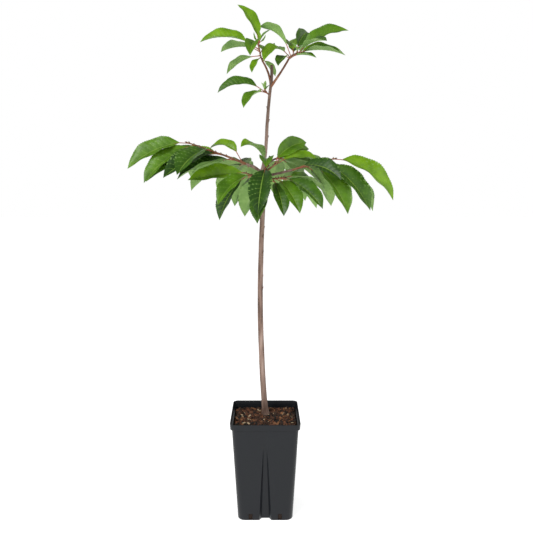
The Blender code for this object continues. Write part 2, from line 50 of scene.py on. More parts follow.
# Pot: a thin wall with a deeper rim band, a tapering groove down each side and two drain slots.
POT_HEIGHT = 0.250
RIM_WIDTH = 0.170
BAND_HEIGHT = 0.015
BAND_FOOT_WIDTH = 0.1685
BODY_TOP_WIDTH = 0.161
BODY_FOOT_WIDTH = 0.1355
POT_WALL = 0.0015
POT_FLOOR = 0.002
FOOT_ROUNDING = 0.002
RIM_CORNER = 0.013
FOOT_CORNER = 0.018
GROOVE_TOP = 0.226
GROOVE_TOP_WIDTH = 0.007
GROOVE_FOOT_WIDTH = 0.030
GROOVE_FOOT_DEPTH = 0.010
GROOVE_FLAT = 0.6
GROOVE_STEPS = 10
CORNER_STEPS = 12
SLOT_OFFSET = 0.036
SLOT_WIDTH = 0.0096
SLOT_FOOT = 0.003
SLOT_HEIGHT = 0.014
SLOT_REACH = 0.008

# Top of the compost, where the trunk stands.
COMPOST_TOP = 0.231

# Trunk: centre line from the compost to the dead tip above the fork.
TRUNK_ROUTE = (
    (0.0005, 0.034, COMPOST_TOP + GAP),
    (-0.003, 0.032, 0.275),
    (-0.007, 0.028, 0.340),
    (-0.0105, 0.024, 0.425),
    (-0.0125, 0.019, 0.510),
    (-0.0120, 0.014, 0.590),
    (-0.0095, 0.009, 0.680),
    (-0.0060, 0.005, 0.765),
    (-0.0052, 0.000, 0.848),
    (0.0015, 0.000, 0.905),
    (0.0045, 0.000, 0.960),
    (0.0095, 0.000, 1.020),
    (0.0150, 0.000, 1.066),
    (0.0155, 0.000, 1.097),
)
TRUNK_STEPS = 300
TRUNK_FOOT_RADIUS = 0.0076
TRUNK_TOP_RADIUS = 0.0056
LEADER_FOOT_RADIUS = 0.0043
LEADER_TOP_RADIUS = 0.0034
WHORL_HEIGHT = 0.846
WHORL_SWELL = 0.0022
WHORL_SPAN = 0.016
ROOT_FLARE = 0.0042
ROOT_FLARE_SPAN = 0.010

Limb = namedtuple("Limb", "name height heading rise turn bend length foot tip")
Leaf = namedtuple("Leaf", "heading rise length roll arch stalk", defaults=(0, 30, 0.024))
Mass = namedtuple("Mass", "name limb height heading rise turn bend length leaves")

# Stub of a shoot pruned off at the whorl, fused to the trunk.
PRUNED_STUB = Limb("pruned_stub", 0.846, 5, 62, 0, 8, 0.044, 0.0042, 0.0033)

# Buds and leaf scars on the trunk: height, heading and size.
BUDS = (
    (0.565, -25, 0.0030), (0.595, 20, 0.0022), (0.655, -40, 0.0028), (0.695, -60, 0.0030),
    (0.716, 15, 0.0022), (0.738, 215, 0.0032), (0.905, 200, 0.0020), (0.932, -10, 0.0024),
    (0.970, 0, 0.0026), (1.000, 190, 0.0020), (0.455, 110, 0.0026), (0.630, 140, 0.0024),
)

# Boughs: height where each leaves the trunk's centre line, heading and rise there,
# turn of the heading and of the rise along it, length, and radius at foot and tip.
LIMBS = (
    Limb("bough_left", 0.846, 182, 36, 4, -16, 0.046, 0.0036, 0.0030),
    Limb("bough_right", 0.838, -6, 10, 2, 4, 0.072, 0.0035, 0.0026),
    Limb("bough_right_upper", 0.845, 12, 36, 4, 0, 0.026, 0.0026, 0.0022),
    Limb("bough_back_left", 0.840, 112, 34, 8, -24, 0.080, 0.0032, 0.0024),
    Limb("bough_back_right", 0.849, 70, 40, -10, -26, 0.078, 0.0032, 0.0024),
    Limb("bough_top_left", 1.053, 178, 82, 0, -24, 0.056, 0.0027, 0.0021),
    Limb("bough_top_right", 1.048, -2, 52, 4, 8, 0.074, 0.0028, 0.0022),
)
LIMB_RINGS = 9
COLLAR = 0.35
COLLAR_SPAN = 0.15

# Masses of foliage. Each has one stem, which goes on from its limb's tip, or where limb is None
# from the trunk's centre line at a height. The leaves stand in order along the stem.
MASSES = (
    Mass("foliage_left_outer", "bough_left", 0, 186, 19, -2, 4, 0.146, (
        Leaf(152, 8, 0.084, -30, 75, 0.030), Leaf(192, -22, 0.130, -20),
        Leaf(146, -34, 0.130, 10), Leaf(184, -16, 0.132, -38, 34), Leaf(180, -45, 0.144, -30),
        Leaf(160, -16, 0.120, -30), Leaf(222, -47, 0.142, -10), Leaf(112, -30, 0.130, 0),
        Leaf(170, -57, 0.132, -50), Leaf(199, -40, 0.133, -30, 26), Leaf(181, -27, 0.138, -45, 34),
    )),
    Mass("foliage_left_inner", None, 0.834, 192, 18, -6, -6, 0.044, (
        Leaf(110, -48, 0.122, 0), Leaf(226, -36, 0.120, -15, 45), Leaf(116, -46, 0.112, 0),
        Leaf(200, -60, 0.112, -30), Leaf(186, -8, 0.130, -45, 8, 0.012),
    )),
    Mass("foliage_front", None, 0.852, 300, 26, 0, -10, 0.026, (
        Leaf(260, -50, 0.138, 0, 30, 0.014), Leaf(234, 12, 0.095, -20, 75),
        Leaf(268, -14, 0.085, 0, 60),
    )),
    Mass("foliage_right_inner", None, 0.829, -36, 10, 14, -8, 0.060, (
        Leaf(44, -38, 0.112, 0), Leaf(254, -42, 0.125, 12), Leaf(288, -52, 0.098, 0),
        Leaf(302, -50, 0.110, 10), Leaf(40, -33, 0.128, 0), Leaf(322, -36, 0.118, 20),
        Leaf(40, -17, 0.115, 20),
    )),
    Mass("foliage_right_upper", "bough_right_upper", 0, 20, 34, 0, -6, 0.012, (
        Leaf(40, 24, 0.108, 55, 40), Leaf(28, 15, 0.102, 50, 30, 0.030), Leaf(24, -1, 0.095, 35, 40),
    )),
    Mass("foliage_right_outer", "bough_right", 0, -4, 16, 4, -4, 0.104, (
        Leaf(322, -20, 0.112, 35, 50), Leaf(100, -30, 0.130, 0), Leaf(52, -44, 0.128, 0),
        Leaf(325, -54, 0.132, 20), Leaf(46, -60, 0.138, 0), Leaf(348, -56, 0.144, 40),
        Leaf(8, -60, 0.160, 10), Leaf(0, -38, 0.160, 40, 44),
    )),
    Mass("foliage_back_left", "bough_back_left", 0, 118, 10, 0, 6, 0.075, (
        Leaf(148, -16, 0.118, 0), Leaf(85, -40, 0.130, 0), Leaf(126, -34, 0.130, 0),
        Leaf(105, -18, 0.130, 0), Leaf(140, -24, 0.120, 0), Leaf(75, -30, 0.125, 0),
        Leaf(112, -35, 0.140, 0),
    )),
    Mass("foliage_back_right", "bough_back_right", 0, 60, 14, 0, 4, 0.070, (
        Leaf(30, -28, 0.120, 0), Leaf(95, -40, 0.130, 0), Leaf(48, -44, 0.130, 0),
        Leaf(72, -20, 0.130, 0), Leaf(28, -34, 0.120, 0), Leaf(98, -26, 0.125, 0),
        Leaf(56, -32, 0.140, 0),
    )),
    Mass("foliage_spur", None, 1.029, 184, 38, 0, -10, 0.014, (
        Leaf(236, -34, 0.085, 0, 40), Leaf(184, -10, 0.098, -40, 60),
    )),
    Mass("foliage_top_left", "bough_top_left", 0, 172, 66, 0, 24, 0.042, (
        Leaf(50, -36, 0.050, 0, 30, 0.010), Leaf(240, -50, 0.050, 0, 30, 0.012),
        Leaf(150, -24, 0.080, 0), Leaf(75, 10, 0.095, 0), Leaf(142, 4, 0.105, 0),
        Leaf(180, -1, 0.112, -40, 44, 0.036), Leaf(258, -34, 0.085, 0, 70),
        Leaf(160, 56, 0.092, -30), Leaf(20, 45, 0.035, 0, 30, 0.010),
    )),
    Mass("foliage_top_right", "bough_top_right", 0, 2, 34, 0, -14, 0.026, (
        Leaf(250, -30, 0.070, 0), Leaf(228, -26, 0.086, -20, 80),
        Leaf(150, 34, 0.092, 30, 44, 0.034), Leaf(75, 14, 0.100, 0),
        Leaf(352, -12, 0.052, 20, 30, 0.008), Leaf(95, 24, 0.105, 0), Leaf(18, 0, 0.112, 30),
        Leaf(345, -6, 0.085, 20),
        Leaf(68, 36, 0.090, 40), Leaf(305, -2, 0.085, 20), Leaf(4, 20, 0.112, 45, 36),
    )),
)
STEM_SIDES = 6
STEM_RINGS = 7
STEM_TIP_RADIUS = 0.0014
STEM_FOOT_RADIUS = 0.0022
STEM_WANDER = 5
STEM_SEAT = 0.002
JOINT_CLEARANCE = 0.003

# Leaf: a stalk and a blade folded along its midrib, here with the blade's half widths.
STALK_RADIUS = 0.0010
STALK_LIFT = 12
BLADE_WIDTH = 0.44
BLADE_FOLD = 28
BLADE_THICKNESS = 0.0017
BLADE_STATIONS = ((0.0, 0.06), (0.14, 0.62), (0.38, 0.97), (0.64, 0.94), (0.86, 0.52))
SWINGS = ((0, 0), (7, 0), (-7, 0), (0, -7), (0, 7), (14, 0), (-14, 0), (10, 9), (-10, 9),
          (10, -9), (-10, -9), (22, 0), (-22, 0), (0, 16), (16, 14), (-16, 14), (30, 0), (-30, 0),
          (0, -16), (22, -14), (-22, -14), (24, 20), (-24, 20), (38, 0), (-38, 0), (36, 20), (-36, 20))

# Leaf surface: half width along the blade, columns across a half, teeth, quilting, veins and
# thickness. Waves, quilting and camber are shares of the half width.
PROFILE = ((0, 0.05), (0.05, 0.26), (0.14, 0.62), (0.26, 0.87), (0.38, 0.98), (0.50, 1.0),
           (0.64, 0.93), (0.76, 0.74), (0.86, 0.48), (0.93, 0.24), (0.97, 0.10), (1.0, 0.01))
BLADE_STEPS = 60
YOUNG_BLADE_STEPS = 24
COLUMNS = (0.045, 0.26, 0.50, 0.76, 1.0)
TOOTH_OUT = 1.045
TOOTH_IN = 0.985
TOOTH_LEAN = 0.35
VEIN_PAIRS = 9
VEIN_REACH = 0.86
VEIN_SLANT = 0.13
VEIN_STEPS = 6
VEIN_ROOT = 0.03
VEIN_SPAN = 0.90
VEIN_TAPER = 0.6
VEIN_WIDTH = 0.0028
VEIN_LIFT = 0.00028
VEINED_LENGTH = 0.06
QUILT = 0.050
CAMBER = 0.09 * 0.6
WAVE = 0.07
WAVE_BEAT = 15
WAVE_SHIFT = 1.7
WAVE_TURN = 6.28
SHEET_THICKNESS = 0.00035
RIDGE = 0.0009
RIDGE_FALL = 0.7
RIDGE_REACH = 0.1

# Tones of the leaves by number, each with the share of draws up to which it is dealt.
# Tone 4 is the greyer green of painted sheen.
LOW_TONES = ((0.18, 0), (0.48, 1), (0.76, 2), (0.84, 4), (1.0, 3))
HIGH_TONES = ((0.45, 3), (0.75, 2), (1.0, 1))
YOUNG_TONE = 3
HIGH_CROWN = 1.0

# Young leaves at the tips of the high stems, stems, stalks, glands, buds and stipules.
TIP_LEAVES = 3
TIP_LEAF_TURN = 95
STEM_POINTS = 30
KNOB_BEAT = 2.1
KNOB_SHARE = 0.10
JOINT_BUD = 0.0032
TIP_BUD = 0.0040
BUD_LEAN = 60
STIPULE_TURN = 28
STIPULE_RISE = 50
STALK_SHARES = (0, 0.15, 0.5, 0.88)
STALK_RADII = (0.0019, 0.0012, 0.0010, 0.0010, 0.0009, 0.0004)
GLAND_LENGTH = 0.0009
GLAND_RADII = (0.0003, 0.0008, 0.0003)
BUD_SHARES = (-0.3, 0.25, 0.7, 1.1, 1.45)
BUD_WIDTHS = (0.30, 0.44, 0.40, 0.24, 0.05)
TWIG_PART, STALK_PART, BUD_PART, STIPULE_PART = range(4)

# Bark: rings and sides of the relief, how deep it is, and the lenticels.
BARK_SIDES = 36
BARK_STEP = 0.0022
BOUGH_SIDES = 18
BOUGH_RINGS = 46
STUB_RINGS = 24
TRUNK_RELIEF = 0.00055
STUB_RELIEF = 0.0006
BOUGH_RELIEF = 0.0004
THICK_BOUGH = 0.003
LENTICEL_COUNT = 150
LENTICEL_HEIGHTS = (0.25, 1.06)
LENTICEL_REACH = (0.0008, 0.0022)
LENTICEL_RADII = (0.0002, 0.0005, 0.0002)
BARK_PART, DEAD_PART, TRUNK_BUD_PART, LENTICEL_PART = range(4)

# Chips on the compost: outline of a chip, sizes, and room left at the wall and round the trunk.
CHIP_COUNT = 1500
CHIP_OUTLINE = ((-0.5, -0.35), (-0.15, -0.5), (0.4, -0.45), (0.5, 0.2), (0.2, 0.5), (-0.4, 0.4))
CHIP_LENGTH = (0.004, 0.015)
CHIP_THICKNESS = (0.001, 0.0028)
CHIP_HEIGHTS = (-0.001, 0.0028)
CHIP_MARGIN = 0.004
CHIP_CLEARANCE = 0.0125

# Pot's foot rounding in degrees, and the angle past which its edges stay sharp.
FOOT_TURNS = (20, 45, 70)
SHARP_ANGLE = 32

# Plain materials: share of the darker colour, and how much finer the grain is than the mottling.
DARKER_SHARE = 0.62
GRAIN_SCALE = 6

# Camera, and where the light from the surroundings fades with height.
CAMERA_LENS = 37.8
CAMERA_SENSOR = 36
CAMERA_PLACE = (0.00306, -1.3634, 0.7735)
CAMERA_DIP = 6.43
SKY_FADE = (0.40, 0.62)
SKY_TOP_STRENGTH = 0.25
FLOOR_REACH = 30


def direction(heading, rise):
    """Unit vector for a heading and a rise in degrees."""
    turn = math.radians(heading)
    lift = math.radians(rise)
    return Vector((math.cos(turn) * math.cos(lift), math.sin(turn) * math.cos(lift), math.sin(lift)))


def smooth_route(points, count):
    """Evenly spaced points on a smooth curve through the given points."""
    points = [Vector(point) for point in points]
    points = [2 * points[0] - points[1]] + points + [2 * points[-1] - points[-2]]
    fine = []
    for i in range(1, len(points) - 2):
        before, start, end, after = points[i - 1:i + 3]
        for step in range(CURVE_STEPS):
            t = step / CURVE_STEPS
            fine.append(0.5 * (2 * start + (end - before) * t
                               + (2 * before - 5 * start + 4 * end - after) * t ** 2
                               + (3 * start - before - 3 * end + after) * t ** 3))
    fine.append(points[-2])
    return [along(fine, i / (count - 1)) for i in range(count)]


def along(route, share):
    """Point at a share of a route's length."""
    lengths = [(b - a).length for a, b in zip(route, route[1:])]
    left = share * sum(lengths)
    for start, end, length in zip(route, route[1:], lengths):
        if left <= length:
            return start.lerp(end, left / length)
        left -= length
    return route[-1].copy()


def at_height(route, height):
    """Point where a rising route passes a height."""
    for start, end in zip(route, route[1:]):
        if start.z <= height <= end.z:
            return start.lerp(end, (height - start.z) / (end.z - start.z))
    return route[-1].copy()


def shoot_route(start, shoot, count, wander=0, rng=None):
    """Points along a shoot that turns and bends evenly, and wanders by a seeded rule."""
    route = [start.copy()]
    step = shoot.length / (count - 1)
    for i in range(count - 1):
        share = (i + 0.5) / (count - 1)
        heading = shoot.heading + shoot.turn * share
        rise = shoot.rise + shoot.bend * share
        if wander:
            heading += rng.uniform(-wander, wander)
            rise += rng.uniform(-wander, wander)
        route.append(route[-1] + direction(heading, rise) * step)
    return route


def ring_faces(rings, sides):
    """Faces between the rings of a closed stack, with a cap at each end."""
    faces = [tuple(range(sides))[::-1]]
    for ring in range(rings - 1):
        low = ring * sides
        for k in range(sides):
            k_next = (k + 1) % sides
            faces.append((low + k, low + k_next, low + sides + k_next, low + sides + k))
    faces.append(tuple(range((rings - 1) * sides, rings * sides)))
    return faces


def trunk_radius(height):
    """Taper, root flare at the foot and swelling at the whorl."""
    foot = TRUNK_ROUTE[0][2]
    top = TRUNK_ROUTE[-1][2]
    if height < WHORL_HEIGHT:
        share = (height - foot) / (WHORL_HEIGHT - foot)
        radius = TRUNK_FOOT_RADIUS + (TRUNK_TOP_RADIUS - TRUNK_FOOT_RADIUS) * share
    else:
        share = (height - WHORL_HEIGHT) / (top - WHORL_HEIGHT)
        ease = min(1.0, (height - WHORL_HEIGHT) / WHORL_SPAN)
        leader = LEADER_FOOT_RADIUS + (LEADER_TOP_RADIUS - LEADER_FOOT_RADIUS) * share
        radius = TRUNK_TOP_RADIUS + (leader - TRUNK_TOP_RADIUS) * ease
    swell = WHORL_SWELL * math.exp(-((height - WHORL_HEIGHT) / WHORL_SPAN) ** 2)
    flare = ROOT_FLARE * math.exp(-(height - foot) / ROOT_FLARE_SPAN)
    return radius + swell + flare


def limb_radii(limb, count):
    """Taper with a collar at the foot."""
    radii = []
    for i in range(count):
        share = i / (count - 1)
        collar = 1 + COLLAR * math.exp(-share / COLLAR_SPAN)
        radii.append((limb.foot + (limb.tip - limb.foot) * share) * collar)
    return radii


def tube(route, radii, sides):
    """Closed tube with flat ends round a route."""
    tangents = [(b - a).normalized() for a, b in zip(route, route[1:])]
    between = [(a + b).normalized() for a, b in zip(tangents, tangents[1:])]
    tangents = [tangents[0]] + between + [tangents[-1]]
    across = tangents[0].orthogonal().normalized()
    vertices = []
    for point, tangent, radius in zip(route, tangents, radii):
        across = (across - tangent * across.dot(tangent)).normalized()
        beside = tangent.cross(across)
        for k in range(sides):
            turn = 2 * math.pi * k / sides
            vertices.append(point + (across * math.cos(turn) + beside * math.sin(turn)) * radius)
    return vertices, ring_faces(len(route), sides)


def blade_frames(root, leaf):
    """Centre, side and upward vectors and half width of each section of a leaf."""
    base_rise = leaf.rise + leaf.arch / 2
    stalk = direction(leaf.heading, base_rise + STALK_LIFT)
    base = root + stalk * leaf.stalk
    frames = [(root, leaf_axes(leaf, base_rise + STALK_LIFT), STALK_RADIUS, 0.0)]
    frames.append((root.lerp(base, 0.9), leaf_axes(leaf, base_rise + STALK_LIFT / 2), STALK_RADIUS, 0.0))
    point = base
    previous = 0.0
    for share, width in BLADE_STATIONS:
        rise = base_rise - leaf.arch * (share + previous) / 2
        point = point + direction(leaf.heading, rise) * leaf.length * (share - previous)
        here = base_rise - leaf.arch * share
        frames.append((point, leaf_axes(leaf, here), leaf.length * BLADE_WIDTH / 2 * width, BLADE_FOLD))
        previous = share
    rise = base_rise - leaf.arch * (1 + previous) / 2
    tip = point + direction(leaf.heading, rise) * leaf.length * (1 - previous)
    return frames, tip


def leaf_axes(leaf, rise):
    """Sideways and upward unit vectors of a leaf where it has a rise."""
    upward = direction(leaf.heading, rise + 90)
    sideways = direction(leaf.heading, rise).cross(upward)
    roll = math.radians(leaf.roll)
    return (sideways * math.cos(roll) - upward * math.sin(roll),
            upward * math.cos(roll) + sideways * math.sin(roll))


def leaf_piece(root, leaf):
    """Closed solid of a leaf: four-sided rings from the stalk's root to a pointed tip."""
    frames, tip = blade_frames(root, leaf)
    vertices = []
    for centre, (sideways, upward), half_width, fold in frames:
        spread = half_width * math.cos(math.radians(fold))
        lift = half_width * math.sin(math.radians(fold))
        thick = STALK_RADIUS if fold == 0 else BLADE_THICKNESS / 2
        vertices += [
            centre - sideways * spread + upward * lift,
            centre + upward * thick,
            centre + sideways * spread + upward * lift,
            centre - upward * thick,
        ]
    vertices.append(tip)
    last = len(vertices) - 5
    faces = ring_faces(len(frames), 4)[:-1]
    faces += [(last + k, last + (k + 1) % 4, last + 4) for k in range(4)]
    return vertices, [face[::-1] for face in faces]


def blade_only(piece):
    """A leaf's faces past its stalk, for testing what they touch."""
    vertices, faces = piece
    return vertices, [face for face in faces if min(face) >= 4]


def tree_of(piece):
    vertices, faces = piece
    return BVHTree.FromPolygons([Vector(v) for v in vertices], faces)


def tree_of_object(item):
    return BVHTree.FromPolygons([v.co for v in item.data.vertices],
                                [tuple(p.vertices) for p in item.data.polygons])


def place_leaf(root, leaf, taken, own):
    """Leaf as drawn, or swung aside until it is clear of the other nodes and its blade is clear
    of its own mass, or None."""
    for turn, lift in SWINGS:
        swung = leaf._replace(heading=leaf.heading + turn, rise=leaf.rise + lift)
        piece = leaf_piece(root, swung)
        whole = tree_of(piece)
        if any(whole.overlap(other) for other in taken):
            continue
        blade = tree_of(blade_only(piece))
        if not any(blade.overlap(other) for other in own):
            return swung
    return None


def stem_and_roots(mass, start, ahead):
    """Route of a mass's stem, which sets off square to its limb's end and wanders by its own seed,
    and where its leaves stand on it."""
    rng = random.Random(mass.name)
    if mass.limb:
        route = [start] + shoot_route(start + ahead * STEM_SEAT, mass, STEM_RINGS, STEM_WANDER, rng)
        first = JOINT_CLEARANCE
    else:
        route = shoot_route(start, mass, STEM_RINGS, STEM_WANDER, rng)
        first = JOINT_CLEARANCE + trunk_radius(mass.height)
    first /= mass.length
    count = len(mass.leaves)
    return route, [along(route, first + (1 - first) * (i + 0.5) / count) for i in range(count)]


def pot_outline(half, corner, groove_width, groove_depth, height):
    """Rounded square with a groove in the middle of each side."""
    side = [
        (-groove_width / 2, -half),
        (-groove_width / 2 * GROOVE_FLAT, -half + groove_depth),
        (groove_width / 2 * GROOVE_FLAT, -half + groove_depth),
        (groove_width / 2, -half),
    ]
    for step in range(CORNER_STEPS + 1):
        turn = math.radians(-90 + 90 * step / CORNER_STEPS)
        side.append((half - corner + corner * math.cos(turn), -half + corner + corner * math.sin(turn)))
    outline = []
    for quarter in range(4):
        turn = math.radians(90 * quarter)
        for x, y in side:
            outline.append((x * math.cos(turn) - y * math.sin(turn),
                            x * math.sin(turn) + y * math.cos(turn), height))
    return outline


def body_outline(height, inset):
    """Outline of the pot's tapering body at a height, moved inwards by an inset."""
    share = height / (POT_HEIGHT - BAND_HEIGHT)
    half = (BODY_FOOT_WIDTH + (BODY_TOP_WIDTH - BODY_FOOT_WIDTH) * share) / 2 - inset
    corner = FOOT_CORNER + (RIM_CORNER - FOOT_CORNER) * share - inset
    depth_share = max(0.0, 1 - height / GROOVE_TOP)
    width = GROOVE_TOP_WIDTH + (GROOVE_FOOT_WIDTH - GROOVE_TOP_WIDTH) * depth_share + 2 * inset
    return pot_outline(half, corner, width, GROOVE_FOOT_DEPTH * depth_share, height)


def wall_rings(foot, inset):
    """Outlines of the body's wall from a height up to the top of its grooves."""
    heights = [foot + (GROOVE_TOP - foot) * i / GROOVE_STEPS for i in range(GROOVE_STEPS + 1)]
    return [body_outline(height, inset) for height in heights]


def link(name, mesh):
    """New object with a mesh, in the scene."""
    item = bpy.data.objects.new(name, mesh)
    bpy.context.scene.collection.objects.link(item)
    return item


def dress(item, node):
    """Piece that stands for a solid node: hung from the root, with the node hidden."""
    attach(item, "root")
    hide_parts(node)


class Patchwork:
    """Collects vertices and faces with a material number each, for one mesh."""

    def __init__(self):
        self.vertices = []
        self.faces = []
        self.numbers = []

    def add(self, vertices, faces, number):
        """Add a patch whose faces all have one material number."""
        base = len(self.vertices)
        self.vertices += [tuple(v) for v in vertices]
        self.faces += [tuple(base + i for i in face) for face in faces]
        self.numbers += [number] * len(faces)

    def build(self, name, materials, smooth=True):
        """Make one object of all the patches."""
        mesh = bpy.data.meshes.new(name)
        mesh.from_pydata(self.vertices, [], self.faces)
        for material in materials:
            mesh.materials.append(material)
        mesh.polygons.foreach_set("material_index", self.numbers)
        mesh.polygons.foreach_set("use_smooth", [smooth] * len(self.faces))
        mesh.update()
        return link(name, mesh)


# Materials

def new_material(name, colour, roughness, specular):
    """Material with a plain shader, its node tree and the shader."""
    material = bpy.data.materials.new(name)
    material.use_nodes = True
    shader = material.node_tree.nodes["Principled BSDF"]
    shader.inputs["Base Color"].default_value = (*colour, 1)
    shader.inputs["Roughness"].default_value = roughness
    shader.inputs["Specular IOR Level"].default_value = specular
    return material, material.node_tree, shader


def noise_node(tree, scale, detail, stretch=(1, 1, 1)):
    """Noise in the object's own coordinates."""
    place = tree.nodes.new("ShaderNodeTexCoord")
    mapping = tree.nodes.new("ShaderNodeMapping")
    mapping.inputs["Scale"].default_value = stretch
    pattern = tree.nodes.new("ShaderNodeTexNoise")
    pattern.inputs["Scale"].default_value = scale
    pattern.inputs["Detail"].default_value = detail
    tree.links.new(place.outputs["Object"], mapping.inputs["Vector"])
    tree.links.new(mapping.outputs["Vector"], pattern.inputs["Vector"])
    return pattern


def add_colours(tree, shader, pattern, stops):
    """Base colour that follows a pattern through colour stops."""
    ramp = tree.nodes.new("ShaderNodeValToRGB")
    while len(ramp.color_ramp.elements) < len(stops):
        ramp.color_ramp.elements.new(0.5)
    for element, (place, colour) in zip(ramp.color_ramp.elements, stops):
        element.position = place
        element.color = (*colour, 1)
    tree.links.new(pattern.outputs["Fac"], ramp.inputs["Fac"])
    tree.links.new(ramp.outputs["Color"], shader.inputs["Base Color"])


def add_bump(tree, shader, pattern, strength, distance):
    """Fine relief that follows a pattern."""
    bump = tree.nodes.new("ShaderNodeBump")
    bump.inputs["Strength"].default_value = strength
    bump.inputs["Distance"].default_value = distance
    tree.links.new(pattern.outputs["Fac"], bump.inputs["Height"])
    tree.links.new(bump.outputs["Normal"], shader.inputs["Normal"])


def leaf_material(name, dark, light, roughness, specular):
    """Mottled leaf skin between a dark and a light green."""
    material, tree, shader = new_material(name, light, roughness, specular)
    add_colours(tree, shader, noise_node(tree, 38, 3), [(0.30, dark), (0.72, light)])
    add_bump(tree, shader, noise_node(tree, 420, 2), 0.25, 0.0006)
    return material


def bark_material(name, stops, stretch):
    """Bark streaked along the wood."""
    material, tree, shader = new_material(name, stops[0][1], 0.62, 0.35)
    add_colours(tree, shader, noise_node(tree, 60, 6, stretch), stops)
    add_bump(tree, shader, noise_node(tree, 500, 4, stretch), 0.5, 0.0008)
    return material


def plain_material(name, colour, roughness, scale, strength, distance):
    """Rough matter in one colour and a darker one."""
    material, tree, shader = new_material(name, colour, roughness, 0.4)
    darker = tuple(part * DARKER_SHARE for part in colour)
    add_colours(tree, shader, noise_node(tree, scale, 5), [(0.3, darker), (0.7, colour)])
    add_bump(tree, shader, noise_node(tree, scale * GRAIN_SCALE, 4), strength, distance)
    return material


LEAF_TOPS = [
    leaf_material("leaf_dark", (0.012, 0.040, 0.004), (0.026, 0.080, 0.006), 0.40, 0.28),
    leaf_material("leaf_mid", (0.022, 0.068, 0.004), (0.052, 0.135, 0.006), 0.40, 0.28),
    leaf_material("leaf_fresh", (0.045, 0.118, 0.003), (0.095, 0.215, 0.006), 0.40, 0.28),
    leaf_material("leaf_bright", (0.085, 0.190, 0.002), (0.165, 0.320, 0.006), 0.38, 0.28),
    # Painted sheen: this greyer green stands in for light glancing off glossy leaves; its higher
    # specular is real gloss.
    leaf_material("leaf_grey", (0.030, 0.072, 0.030), (0.066, 0.125, 0.050), 0.46, 0.5),
]
LEAF_VEIN = leaf_material("leaf_vein", (0.10, 0.20, 0.022), (0.20, 0.32, 0.045), 0.5, 0.3)
LEAF_UNDER = leaf_material("leaf_under", (0.13, 0.25, 0.060), (0.24, 0.38, 0.110), 0.6, 0.2)
LEAF_MATERIALS = LEAF_TOPS + [LEAF_VEIN, LEAF_UNDER]
VEIN_NUMBER = len(LEAF_TOPS)
UNDER_NUMBER = VEIN_NUMBER + 1
TWIG = bark_material("twig", [(0.30, (0.075, 0.026, 0.014)), (0.55, (0.20, 0.078, 0.035)),
                              (0.80, (0.36, 0.20, 0.12))], (1, 1, 0.25))
STALK = plain_material("stalk", (0.34, 0.085, 0.045), 0.45, 90, 0.2, 0.0004)
BUD = plain_material("bud", (0.10, 0.045, 0.025), 0.5, 200, 0.4, 0.0006)
STIPULE = plain_material("stipule", (0.45, 0.48, 0.16), 0.55, 120, 0.2, 0.0004)
BARK = bark_material("bark", [(0.30, (0.040, 0.022, 0.015)), (0.46, (0.125, 0.075, 0.055)),
                              (0.62, (0.26, 0.175, 0.140)), (0.80, (0.42, 0.32, 0.27))], (1, 1, 0.16))
DEAD_WOOD = plain_material("dead_wood", (0.070, 0.045, 0.032), 0.8, 160, 0.6, 0.001)
LENTICEL = plain_material("lenticel", (0.42, 0.27, 0.18), 0.8, 300, 0.5, 0.0008)
POT, POT_TREE, POT_SHADER = new_material("pot", (0.0085, 0.0100, 0.0125), 0.34, 0.24)
add_bump(POT_TREE, POT_SHADER, noise_node(POT_TREE, 900, 3), 0.12, 0.0004)
CHIPS = [
    plain_material("chip_black", (0.016, 0.011, 0.008), 0.9, 150, 0.9, 0.0015),
    plain_material("chip_brown", (0.070, 0.030, 0.016), 0.85, 150, 0.9, 0.0015),
    plain_material("chip_red", (0.165, 0.060, 0.026), 0.8, 150, 0.9, 0.0015),
    plain_material("chip_orange", (0.30, 0.13, 0.055), 0.8, 150, 0.8, 0.0012),
    plain_material("chip_cream", (0.58, 0.44, 0.28), 0.8, 150, 0.6, 0.001),
]
CHIP_SHARES = (0.26, 0.60, 0.85, 0.965, 1.0)  # share of draws up to which each chip is dealt
COMPOST = plain_material("compost", (0.030, 0.016, 0.009), 0.95, 120, 1.0, 0.003)


# Leaves

def profile(share):
    """Half width at a share of the blade's length, as a share of the greatest."""
    for (start, low), (end, high) in zip(PROFILE, PROFILE[1:]):
        if share <= end:
            return low + (high - low) * (share - start) / (end - start)
    return PROFILE[-1][1]


def midrib_frames(root, leaf, count):
    """Points along a blade's midrib with its side and upward vectors, on the solid leaf's arc."""
    base_rise = leaf.rise + leaf.arch / 2
    point = root + direction(leaf.heading, base_rise + STALK_LIFT) * leaf.stalk
    frames = []
    for i in range(count + 1):
        share = i / count
        if i:
            rise = base_rise - leaf.arch * (share - 0.5 / count)
            point = point + direction(leaf.heading, rise) * leaf.length / count
        frames.append((point, leaf_axes(leaf, base_rise - leaf.arch * share)))
    return frames


def blade_height(share, across, half, phase):
    """How far the blade stands above its midrib: fold, camber, waves and quilting."""
    reach = abs(across)
    height = reach * math.sin(math.radians(BLADE_FOLD))
    height += CAMBER * math.sin(math.pi * min(reach, 1))
    shift = WAVE_SHIFT if across > 0 else 0
    height += WAVE * reach ** 2 * math.sin(share * WAVE_BEAT + phase + shift)
    beat = (share - VEIN_SLANT * reach) * VEIN_PAIRS / VEIN_REACH
    height += QUILT * abs(math.sin(math.pi * beat)) * math.sin(math.pi * min(1, reach * 0.9 + 0.08))
    return height * half


def blade_point(frames, leaf, share, across, phase):
    """Point of the blade's upper face, and the upward vector there."""
    place = min(max(share, 0), 1) * (len(frames) - 1)
    i = min(int(place), len(frames) - 2)
    t = place - i
    centre = frames[i][0].lerp(frames[i + 1][0], t)
    sideways, upward = frames[i][1]
    half = leaf.length * BLADE_WIDTH / 2 * profile(share)
    spread = across * half * math.cos(math.radians(BLADE_FOLD))
    return centre + sideways * spread + upward * blade_height(share, across, half, phase), upward


